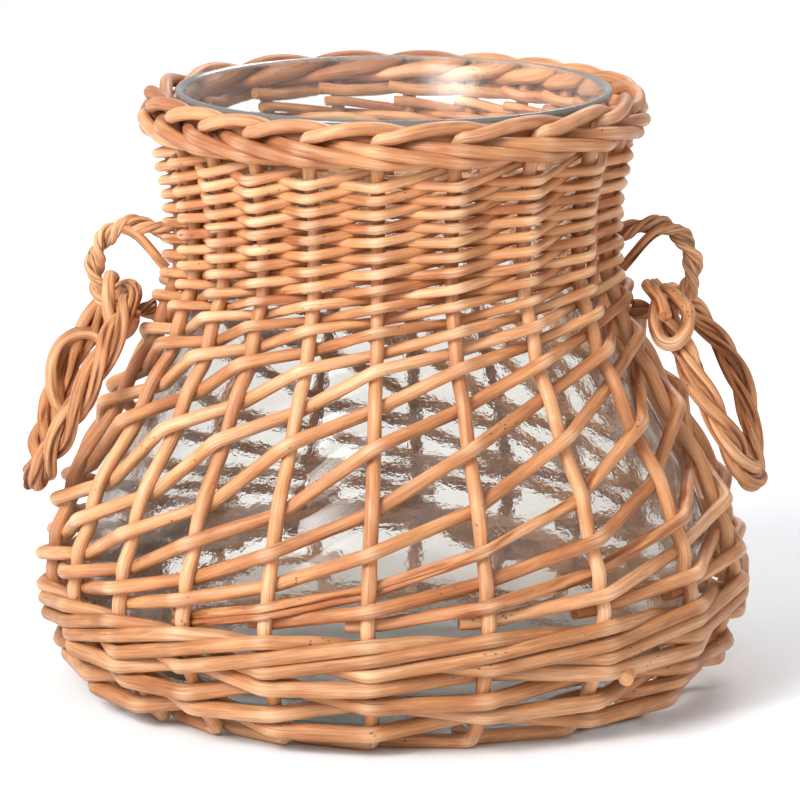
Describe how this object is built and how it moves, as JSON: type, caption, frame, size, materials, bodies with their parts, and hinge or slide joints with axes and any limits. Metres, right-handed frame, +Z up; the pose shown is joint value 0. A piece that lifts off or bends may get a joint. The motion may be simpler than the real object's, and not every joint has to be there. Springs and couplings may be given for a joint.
{
  "type": "flower vase",
  "caption": "Round clear glass flower vase held in an open sleeve of woven willow, with a rolled border and a hoop handle hanging on each side.",
  "frame": {"origin": "middle of the jar's flat base, on the surface that the vase stands on", "axes": "+X towards the right handle, -Y towards the front, +Z up"},
  "size_m": [0.3025, 0.2919, 0.2451],
  "materials": {
    "clear_glass": "clear, glossy, slightly wavy",
    "upright_willow": "buff willow rod, satin",
    "spiral_willow": "buff willow rod, satin",
    "waling_willow": "buff willow rod, satin",
    "ring_willow": "twisted willow skein, matte",
    "handle_willow": "twisted willow rod, satin"
  },
  "bodies": {
    "vase": {"glass_jar": "clear_glass", "stake_01": "upright_willow", "stake_02": "upright_willow", "stake_03": "upright_willow", "stake_04": "upright_willow", "stake_05": "upright_willow", "stake_06": "upright_willow", "stake_07": "upright_willow", "stake_08": "upright_willow", "stake_09": "upright_willow", "stake_10": "upright_willow", "stake_11": "upright_willow", "stake_12": "upright_willow", "stake_13": "upright_willow", "stake_14": "upright_willow", "stake_15": "upright_willow", "stake_16": "upright_willow", "stake_17": "upright_willow", "stake_18": "upright_willow", "stake_19": "upright_willow", "stake_20": "upright_willow", "spiral_weaver_01": "spiral_willow", "spiral_weaver_02": "spiral_willow", "spiral_weaver_03": "spiral_willow", "spiral_weaver_04": "spiral_willow", "spiral_weaver_05": "spiral_willow", "spiral_weaver_06": "spiral_willow", "spiral_weaver_07": "spiral_willow", "spiral_weaver_08": "spiral_willow", "spiral_weaver_09": "spiral_willow", "spiral_weaver_10": "spiral_willow", "spiral_weaver_11": "spiral_willow", "spiral_weaver_12": "spiral_willow", "spiral_weaver_13": "spiral_willow", "spiral_weaver_14": "spiral_willow", "spiral_weaver_15": "spiral_willow", "spiral_weaver_16": "spiral_willow", "spiral_weaver_17": "spiral_willow", "spiral_weaver_18": "spiral_willow", "spiral_weaver_19": "spiral_willow", "spiral_weaver_20": "spiral_willow", "wale_rod_1": "waling_willow", "wale_rod_2": "waling_willow", "wale_rod_3": "waling_willow", "wale_rod_4": "waling_willow", "left_ring_strand_1": "ring_willow", "left_ring_strand_2": "ring_willow", "right_ring_strand_1": "ring_willow", "right_ring_strand_2": "ring_willow"},
    "left_handle": {"left_hoop_handle": "handle_willow"},
    "right_handle": {"right_hoop_handle": "handle_willow"}
  },
  "joints": [
    {"name": "left_handle_swing", "type": "hinge", "parent": "vase", "child": "left_handle", "pos_m": [-0.1045, 0, 0.1591], "axis": [0, 1, 0], "range_deg": [0, 135]},
    {"name": "right_handle_swing", "type": "hinge", "parent": "vase", "child": "right_handle", "pos_m": [0.1045, 0, 0.1591], "axis": [0, -1, 0], "range_deg": [0, 135]}
  ]
}
